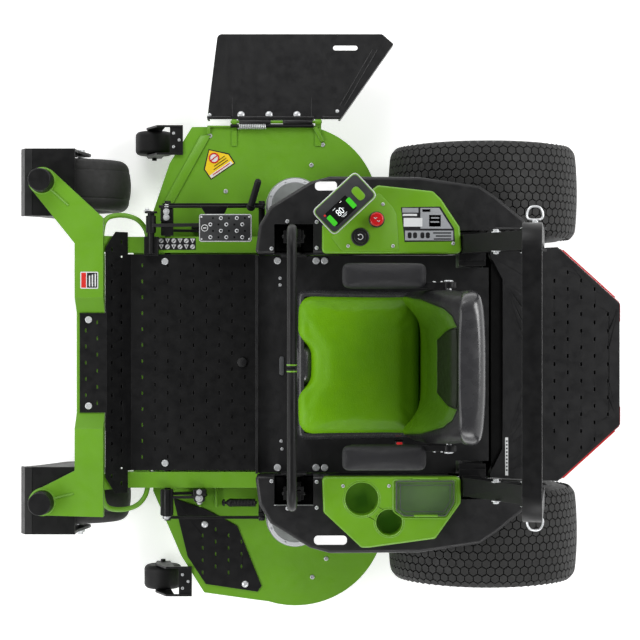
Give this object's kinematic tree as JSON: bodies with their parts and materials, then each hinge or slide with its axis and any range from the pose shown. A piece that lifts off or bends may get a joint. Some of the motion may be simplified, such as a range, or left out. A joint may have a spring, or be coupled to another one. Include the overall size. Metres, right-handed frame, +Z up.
{
  "type": "riding lawn mower",
  "caption": "Electric zero-turn riding mower with side-discharge deck, swivelling front casters, lap-bar levers, folding roll bar and rear cover.",
  "frame": {"origin": "on the ground, at the middle of the whole machine's bounding box", "axes": "+X forward, +Y to the mower's left, +Z up"},
  "size_m": [1.864, 1.854, 1.4974],
  "materials": {
    "green_paint": "satin powder coat",
    "black_paint": "textured powder coat",
    "grey_metal": "bare cast",
    "steel": "zinc plated",
    "tyre_rubber": "matte",
    "rubber": "matte",
    "black_plastic": "moulded, fine grain",
    "green_plastic": "moulded, satin",
    "clear_plastic": "clear moulded",
    "seat_vinyl": "coated seat cover",
    "pad_vinyl": "coated pad",
    "display_black": "gloss",
    "display_glow": "lit graphics",
    "red_plastic": "gloss",
    "battery_case": "moulded",
    "wheel_paint": "satin grey"
  },
  "bodies": {
    "chassis": {"frame_rails": "green_paint", "front_beam": "green_paint", "caster_pivot_tubes": "black_paint", "rear_frame": "black_paint", "footplate": "black_paint", "seat_deck": "black_plastic", "fender_left": "black_plastic", "fender_right": "black_plastic", "console_left": "green_plastic", "console_right": "green_plastic", "display_unit": "display_black", "battery_packs": "battery_case", "drive_motors": "grey_metal", "rops_base": "black_paint", "rear_cover": "black_plastic", "tail_lights": "red_plastic", "body_bolts": "steel"},
    "deck": {"deck_shell": "green_paint", "deck_step": "black_paint", "blade_motors": "grey_metal", "roller_brackets": "black_paint", "chute_hinge": "green_paint", "deck_hangers": "black_paint"},
    "discharge_chute": {"chute": "black_plastic"},
    "lift_front": {"lift_shaft_front": "black_paint"},
    "lift_rear": {"lift_shaft_rear": "black_paint"},
    "lift_links": {"lift_bars": "black_paint"},
    "pedal": {"lift_pedal": "grey_metal"},
    "seat_plate": {"seat_base": "black_paint"},
    "seat": {"seat_cushion": "seat_vinyl", "seat_back": "seat_vinyl"},
    "roll_hoop": {"rops_hoop": "black_paint"},
    "bin_lid": {"storage_lid": "clear_plastic"},
    "blade_switch": {"pto_knob": "red_plastic"},
    "start_button": {"power_button": "black_plastic"},
    "caster_left": {"caster_fork_left": "black_paint", "caster_axle_left": "steel"},
    "caster_wheel_left": {"caster_tyre_left": "tyre_rubber", "caster_rim_left": "wheel_paint"},
    "drive_wheel_left": {"drive_tyre_left": "tyre_rubber", "drive_rim_left": "wheel_paint"},
    "lever_rocker_left": {"lap_pivot_left": "black_paint"},
    "lever_left": {"lap_bar_left": "black_paint"},
    "arm_left": {"armrest_left": "pad_vinyl"},
    "roll_pin_left": {"rops_pin_left": "steel"},
    "scalp_roller_left": {"roller_left": "rubber"},
    "caster_right": {"caster_fork_right": "black_paint", "caster_axle_right": "steel"},
    "caster_wheel_right": {"caster_tyre_right": "tyre_rubber", "caster_rim_right": "wheel_paint"},
    "drive_wheel_right": {"drive_tyre_right": "tyre_rubber", "drive_rim_right": "wheel_paint"},
    "lever_rocker_right": {"lap_pivot_right": "black_paint"},
    "lever_right": {"lap_bar_right": "black_paint"},
    "arm_right": {"armrest_right": "pad_vinyl"},
    "roll_pin_right": {"rops_pin_right": "steel"},
    "scalp_roller_right": {"roller_right": "rubber"},
    "cutter_left": {"blade_left": "steel"},
    "cutter_center": {"blade_center": "steel"},
    "cutter_right": {"blade_right": "steel"}
  },
  "joints": [
    {"name": "deck_height", "type": "slide", "parent": "chassis", "child": "deck", "axis": [0, 0, 1], "range_m": [0, 0.045]},
    {"name": "lift_front_turn", "type": "hinge", "parent": "chassis", "child": "lift_front", "pos_m": [0.4735, 0.135, 0.272], "axis": [0, 1, 0], "range_deg": [-1, 26.78]},
    {"name": "lift_rear_turn", "type": "hinge", "parent": "chassis", "child": "lift_rear", "pos_m": [0.1715, 0.135, 0.272], "axis": [0, 1, 0], "range_deg": [-1, 26.78]},
    {"name": "lift_link_turn", "type": "hinge", "parent": "lift_front", "child": "lift_links", "pos_m": [0.4735, 0.135, 0.312], "axis": [0, -1, 0], "range_deg": [-1, 26.78]},
    {"name": "pedal_press", "type": "hinge", "parent": "chassis", "child": "pedal", "pos_m": [0.5215, -0.305, 0.332], "axis": [0, -1, 0], "range_deg": [-1, 14]},
    {"name": "chute_flip", "type": "hinge", "parent": "deck", "child": "discharge_chute", "pos_m": [0.1245, -0.642, 0.213], "axis": [-1, 0, 0], "range_deg": [0, 95]},
    {"name": "drive_spin_left", "type": "hinge", "parent": "chassis", "child": "drive_wheel_left", "pos_m": [-0.5335, 0.6705, 0.3], "axis": [0, 1, 0], "continuous": true},
    {"name": "caster_swivel_left", "type": "hinge", "parent": "chassis", "child": "caster_left", "pos_m": [0.8535, 0.57, 0.4], "axis": [0, 0, 1], "continuous": true},
    {"name": "caster_spin_left", "type": "hinge", "parent": "caster_left", "child": "caster_wheel_left", "pos_m": [0.7675, 0.57, 0.165], "axis": [0, 1, 0], "continuous": true},
    {"name": "lever_drive_left", "type": "hinge", "parent": "chassis", "child": "lever_rocker_left", "pos_m": [0.0635, 0.515, 0.59], "axis": [0, 1, 0], "range_deg": [-15, 20], "stiffness_Nm_per_rad": 60},
    {"name": "lever_park_left", "type": "hinge", "parent": "lever_rocker_left", "child": "lever_left", "pos_m": [0.0635, 0.52, 0.665], "axis": [-1, 0, 0], "range_deg": [0, 40]},
    {"name": "armrest_fold_left", "type": "hinge", "parent": "seat", "child": "arm_left", "pos_m": [-0.3875, 0.375, 0.862], "axis": [0, -1, 0], "range_deg": [0, 85]},
    {"name": "roll_pin_pull_left", "type": "slide", "parent": "roll_hoop", "child": "roll_pin_left", "axis": [0, 1, 0], "range_m": [0, 0.03]},
    {"name": "roller_spin_left", "type": "hinge", "parent": "deck", "child": "scalp_roller_left", "pos_m": [0.5045, 0.848, 0.075], "axis": [0, 1, 0], "continuous": true},
    {"name": "drive_spin_right", "type": "hinge", "parent": "chassis", "child": "drive_wheel_right", "pos_m": [-0.5335, -0.4005, 0.3], "axis": [0, 1, 0], "continuous": true},
    {"name": "caster_swivel_right", "type": "hinge", "parent": "chassis", "child": "caster_right", "pos_m": [0.8535, -0.435, 0.4], "axis": [0, 0, 1], "continuous": true},
    {"name": "caster_spin_right", "type": "hinge", "parent": "caster_right", "child": "caster_wheel_right", "pos_m": [0.7675, -0.435, 0.165], "axis": [0, 1, 0], "continuous": true},
    {"name": "lever_drive_right", "type": "hinge", "parent": "chassis", "child": "lever_rocker_right", "pos_m": [0.0635, -0.245, 0.59], "axis": [0, 1, 0], "range_deg": [-15, 20], "stiffness_Nm_per_rad": 60},
    {"name": "lever_park_right", "type": "hinge", "parent": "lever_rocker_right", "child": "lever_right", "pos_m": [0.0635, -0.25, 0.665], "axis": [1, 0, 0], "range_deg": [0, 40]},
    {"name": "armrest_fold_right", "type": "hinge", "parent": "seat", "child": "arm_right", "pos_m": [-0.3875, -0.105, 0.862], "axis": [0, -1, 0], "range_deg": [0, 85]},
    {"name": "roll_pin_pull_right", "type": "slide", "parent": "roll_hoop", "child": "roll_pin_right", "axis": [0, -1, 0], "range_m": [0, 0.03]},
    {"name": "roller_spin_right", "type": "hinge", "parent": "deck", "child": "scalp_roller_right", "pos_m": [0.5335, -0.584, 0.075], "axis": [0, 1, 0], "continuous": true},
    {"name": "blade_spin_left", "type": "hinge", "parent": "deck", "child": "cutter_left", "pos_m": [0.0645, 0.635, 0.076], "axis": [0, 0, 1], "continuous": true},
    {"name": "blade_spin_center", "type": "hinge", "parent": "deck", "child": "cutter_center", "pos_m": [0.2565, 0.135, 0.076], "axis": [0, 0, 1], "continuous": true},
    {"name": "blade_spin_right", "type": "hinge", "parent": "deck", "child": "cutter_right", "pos_m": [0.0645, -0.365, 0.076], "axis": [0, 0, 1], "continuous": true},
    {"name": "seat_tilt", "type": "hinge", "parent": "chassis", "child": "seat_plate", "pos_m": [0.0465, 0.135, 0.572], "axis": [0, 1, 0], "range_deg": [0, 30]},
    {"name": "seat_slide", "type": "slide", "parent": "seat_plate", "child": "seat", "axis": [1, 0, 0], "range_m": [-0.05, 0.02]},
    {"name": "roll_bar_fold", "type": "hinge", "parent": "chassis", "child": "roll_hoop", "pos_m": [-0.6215, 0.135, 1], "axis": [0, -1, 0], "range_deg": [0, 95]},
    {"name": "bin_lid_open", "type": "hinge", "parent": "chassis", "child": "bin_lid", "pos_m": [-0.3345, 0.48, 0.685], "axis": [1, 0, 0], "range_deg": [0, 80]},
    {"name": "blade_switch_pull", "type": "slide", "parent": "chassis", "child": "blade_switch", "axis": [0, 0, 1], "range_m": [0, 0.01]},
    {"name": "start_button_press", "type": "slide", "parent": "chassis", "child": "start_button", "axis": [0, 0, -1], "range_m": [0, 0.003], "stiffness_N_per_m": 600}
  ],
  "couplings": [
    {"joint": "lift_front_turn", "follows": "deck_height", "rad_per_m": 10},
    {"joint": "lift_rear_turn", "follows": "deck_height", "rad_per_m": 10},
    {"joint": "lift_link_turn", "follows": "deck_height", "rad_per_m": 10},
    {"joint": "pedal_press", "follows": "deck_height", "rad_per_m": 5}
  ]
}
